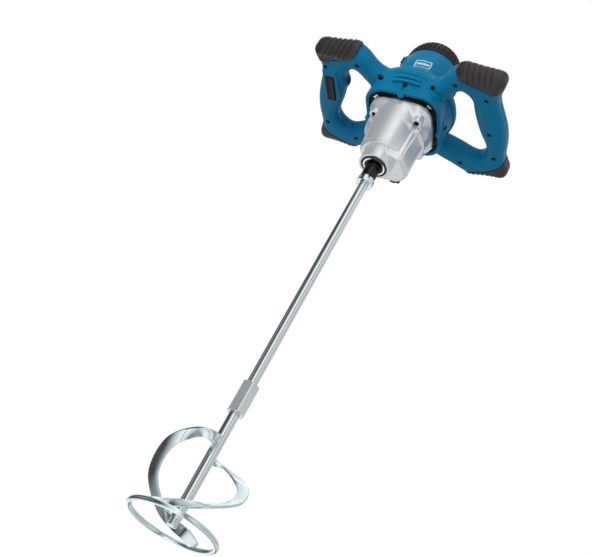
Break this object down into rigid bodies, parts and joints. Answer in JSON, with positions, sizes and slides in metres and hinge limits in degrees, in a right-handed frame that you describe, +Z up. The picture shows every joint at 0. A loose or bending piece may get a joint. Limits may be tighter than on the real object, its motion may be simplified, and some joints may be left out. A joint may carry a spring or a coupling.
{
  "type": "two-handled paddle mixer",
  "caption": "Electric hand mixer for mortar with looped handles, cast gear case and a helical mixing paddle on a long rod.",
  "frame": {"origin": "centre of the gear case neck's front face, on the spindle axis", "axes": "+Z up the spindle axis towards the motor, +X to the right handle seen from the badge side with the motor up, -Y to the badge side"},
  "size_m": [0.3172, 0.21, 0.8782],
  "materials": {
    "zinc_plated_steel": "bright zinc plating",
    "blackened_steel": "black oxide",
    "gear_steel": "machined",
    "lamination_steel": "varnished stack",
    "bronze": "sintered bronze",
    "copper_winding": "enamelled copper",
    "cast_aluminium": "satin casting",
    "bright_ring": "bright",
    "seal_rubber": "matt",
    "blue_shell": "fine moulded texture",
    "black_plastic": "fine moulded texture",
    "soft_rubber": "soft touch",
    "carbon": "carbon",
    "badge_white": "printed plate"
  },
  "bodies": {
    "machine": {"nose_bearing_outer": "gear_steel", "nose_bearing_balls": "gear_steel", "nose_seal": "seal_rubber", "seal_ring": "bright_ring", "spindle_bush": "bronze", "gear_case": "cast_aluminium", "gear_plate": "cast_aluminium", "case_screws": "blackened_steel", "lay_bush_front": "bronze", "lay_bush_rear": "bronze", "armature_bearing_front": "gear_steel", "armature_bearing_rear": "gear_steel", "stator_core": "lamination_steel", "field_coils": "copper_winding", "brush_holders": "black_plastic", "carbon_brushes": "carbon", "brush_caps": "black_plastic", "bearing_bridge": "black_plastic", "handle_shell_front": "blue_shell", "handle_shell_rear": "blue_shell", "motor_housing": "blue_shell", "end_cap": "black_plastic", "badge": "badge_white", "pad_top_left": "soft_rubber", "pad_top_right": "soft_rubber", "pad_bottom_left": "soft_rubber", "pad_bottom_right": "soft_rubber", "shell_screws": "blackened_steel", "switch_body": "black_plastic", "cable_sleeve": "seal_rubber", "cable_stub": "seal_rubber"},
    "spindle_and_paddle": {"paddle_ring": "zinc_plated_steel", "blade_upper": "zinc_plated_steel", "blade_lower": "zinc_plated_steel", "paddle_rod": "zinc_plated_steel", "rod_coupling": "zinc_plated_steel", "mixing_rod": "zinc_plated_steel", "rod_collar": "zinc_plated_steel", "spindle": "blackened_steel", "spindle_gear": "gear_steel", "nose_bearing_inner": "gear_steel"},
    "layshaft": {"lay_shaft": "gear_steel", "lay_wheel": "gear_steel"},
    "armature": {"armature_shaft": "gear_steel", "armature_core": "copper_winding", "commutator": "copper_winding", "cooling_fan": "black_plastic"},
    "selector": {"gear_selector": "black_plastic"},
    "trigger_button": {"trigger": "black_plastic"},
    "lock_pin": {"lock_button": "black_plastic"}
  },
  "joints": [
    {"name": "spindle_spin", "type": "hinge", "parent": "machine", "child": "spindle_and_paddle", "pos_m": [0, 0, 0], "axis": [0, 0, 1], "continuous": true},
    {"name": "layshaft_spin", "type": "hinge", "parent": "machine", "child": "layshaft", "pos_m": [0.02191, 0.014, 0.05], "axis": [0, 0, 1], "continuous": true},
    {"name": "armature_spin", "type": "hinge", "parent": "machine", "child": "armature", "pos_m": [0, 0.016, 0.17], "axis": [0, 0, 1], "continuous": true},
    {"name": "selector_turn", "type": "hinge", "parent": "machine", "child": "selector", "pos_m": [0.021, 0.04, 0.025], "axis": [0, 1, 0], "range_deg": [0, 90]},
    {"name": "trigger_press", "type": "slide", "parent": "machine", "child": "trigger_button", "axis": [0, 0, 1], "range_m": [0, 0.005], "stiffness_N_per_m": 900, "springref_m": -0.002},
    {"name": "lock_press", "type": "slide", "parent": "machine", "child": "lock_pin", "axis": [-1, 0, 0], "range_m": [0, 0.003], "stiffness_N_per_m": 600, "springref_m": -0.001}
  ],
  "couplings": [
    {"joint": "layshaft_spin", "follows": "spindle_spin", "ratio": -4.2},
    {"joint": "armature_spin", "follows": "spindle_spin", "ratio": 18.9}
  ]
}
